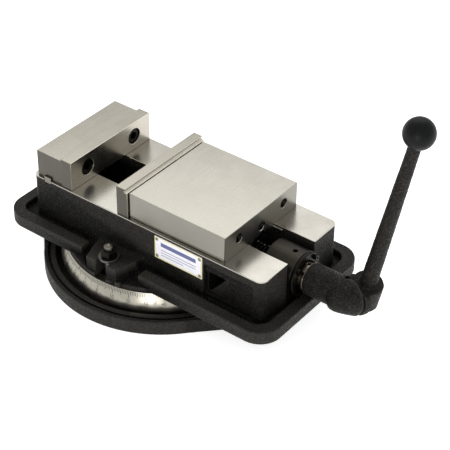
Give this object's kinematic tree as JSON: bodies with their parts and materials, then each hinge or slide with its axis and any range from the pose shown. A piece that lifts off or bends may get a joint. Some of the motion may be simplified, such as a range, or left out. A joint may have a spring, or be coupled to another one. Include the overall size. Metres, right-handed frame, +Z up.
{
  "type": "machine vise",
  "caption": "Milling machine vise with ground jaws on a keyed bed, coolant trough, graduated swivel base and a crank handle with a folding arm.",
  "frame": {"origin": "on the swivel axis at the underside of the swivel base, midway between the two lug slots", "axes": "+X along the bed towards the crank handle, +Z up, the name plate on the -Y side"},
  "size_m": [0.5804, 0.308, 0.3608],
  "materials": {
    "swivel_casting": "black wrinkle paint",
    "ring_steel": "turned bright, graduations in the visual model",
    "bed_casting": "black wrinkle paint, rails ground bright",
    "pin_steel": "turned",
    "bolt_black": "black oxide",
    "washer_black": "black oxide",
    "nut_black": "black oxide",
    "plate_enamel": "printed enamel",
    "rivet_alloy": "plain",
    "fixed_jaw_steel": "ground",
    "key_steel": "ground",
    "jaw_bolt_black": "black oxide",
    "fixed_plate_steel": "hardened and ground",
    "cap_screw_black": "black oxide",
    "housing_steel": "turned",
    "housing_bolt_black": "black oxide",
    "bush_bronze": "bronze, bored",
    "washer_bronze": "bronze, faced",
    "flange_black": "black oxide",
    "small_screw_steel": "plain",
    "screw_steel": "turned thread, oiled",
    "collar_steel": "turned bright",
    "set_screw_black": "black oxide",
    "movable_jaw_steel": "ground",
    "movable_plate_steel": "hardened and ground",
    "cap_screw_black_2": "black oxide",
    "nut_iron": "machined",
    "ball_steel": "hardened",
    "set_screw_black_2": "black oxide",
    "hub_cast": "black paint over a rough casting",
    "pivot_steel": "plain",
    "block_cast": "black paint over a rough casting",
    "rod_cast": "black paint over a rough casting",
    "ball_black": "moulded, semi-gloss"
  },
  "bodies": {
    "base": {"swivel_base": "swivel_casting", "graduated_ring": "ring_steel"},
    "vise": {"vise_body": "bed_casting", "swivel_pin": "pin_steel", "t_bolts": "bolt_black", "t_bolt_washers": "washer_black", "t_bolt_nuts": "nut_black", "name_plate": "plate_enamel", "name_plate_rivets": "rivet_alloy", "fixed_jaw": "fixed_jaw_steel", "fixed_jaw_key": "key_steel", "fixed_jaw_bolts": "jaw_bolt_black", "fixed_jaw_plate": "fixed_plate_steel", "fixed_plate_screws": "cap_screw_black", "bearing_housing": "housing_steel", "housing_bolts": "housing_bolt_black", "bearing_bush": "bush_bronze", "thrust_washers": "washer_bronze", "retainer_flange": "flange_black", "retainer_screws": "small_screw_steel"},
    "screw": {"lead_screw": "screw_steel", "screw_collar": "collar_steel", "collar_set_screw": "set_screw_black"},
    "jaw": {"movable_jaw": "movable_jaw_steel", "movable_jaw_plate": "movable_plate_steel", "movable_plate_screws": "cap_screw_black_2", "jaw_nut": "nut_iron", "half_ball": "ball_steel", "jaw_set_screw": "set_screw_black_2"},
    "hub": {"handle_hub": "hub_cast", "handle_pivot": "pivot_steel"},
    "arm": {"handle_block": "block_cast", "handle_rod": "rod_cast", "handle_ball": "ball_black"}
  },
  "joints": [
    {"name": "swivel", "type": "hinge", "parent": "base", "child": "vise", "pos_m": [0, 0, 0.041], "axis": [0, 0, 1], "continuous": true},
    {"name": "screw_turn", "type": "hinge", "parent": "vise", "child": "screw", "pos_m": [0, 0, 0.081], "axis": [1, 0, 0], "range_deg": [-4320, 4680]},
    {"name": "jaw_slide", "type": "slide", "parent": "vise", "child": "jaw", "axis": [1, 0, 0], "range_m": [-0.072, 0.078]},
    {"name": "handle_pull", "type": "slide", "parent": "screw", "child": "hub", "axis": [1, 0, 0], "range_m": [0, 0.036]},
    {"name": "arm_swivel", "type": "hinge", "parent": "hub", "child": "arm", "pos_m": [0.2875, 0, 0.081], "axis": [0.3746, 0.9272, 0], "range_deg": [-14.5, 75]}
  ],
  "couplings": [
    {"joint": "jaw_slide", "follows": "screw_turn", "m_per_rad": 0.00095492}
  ]
}
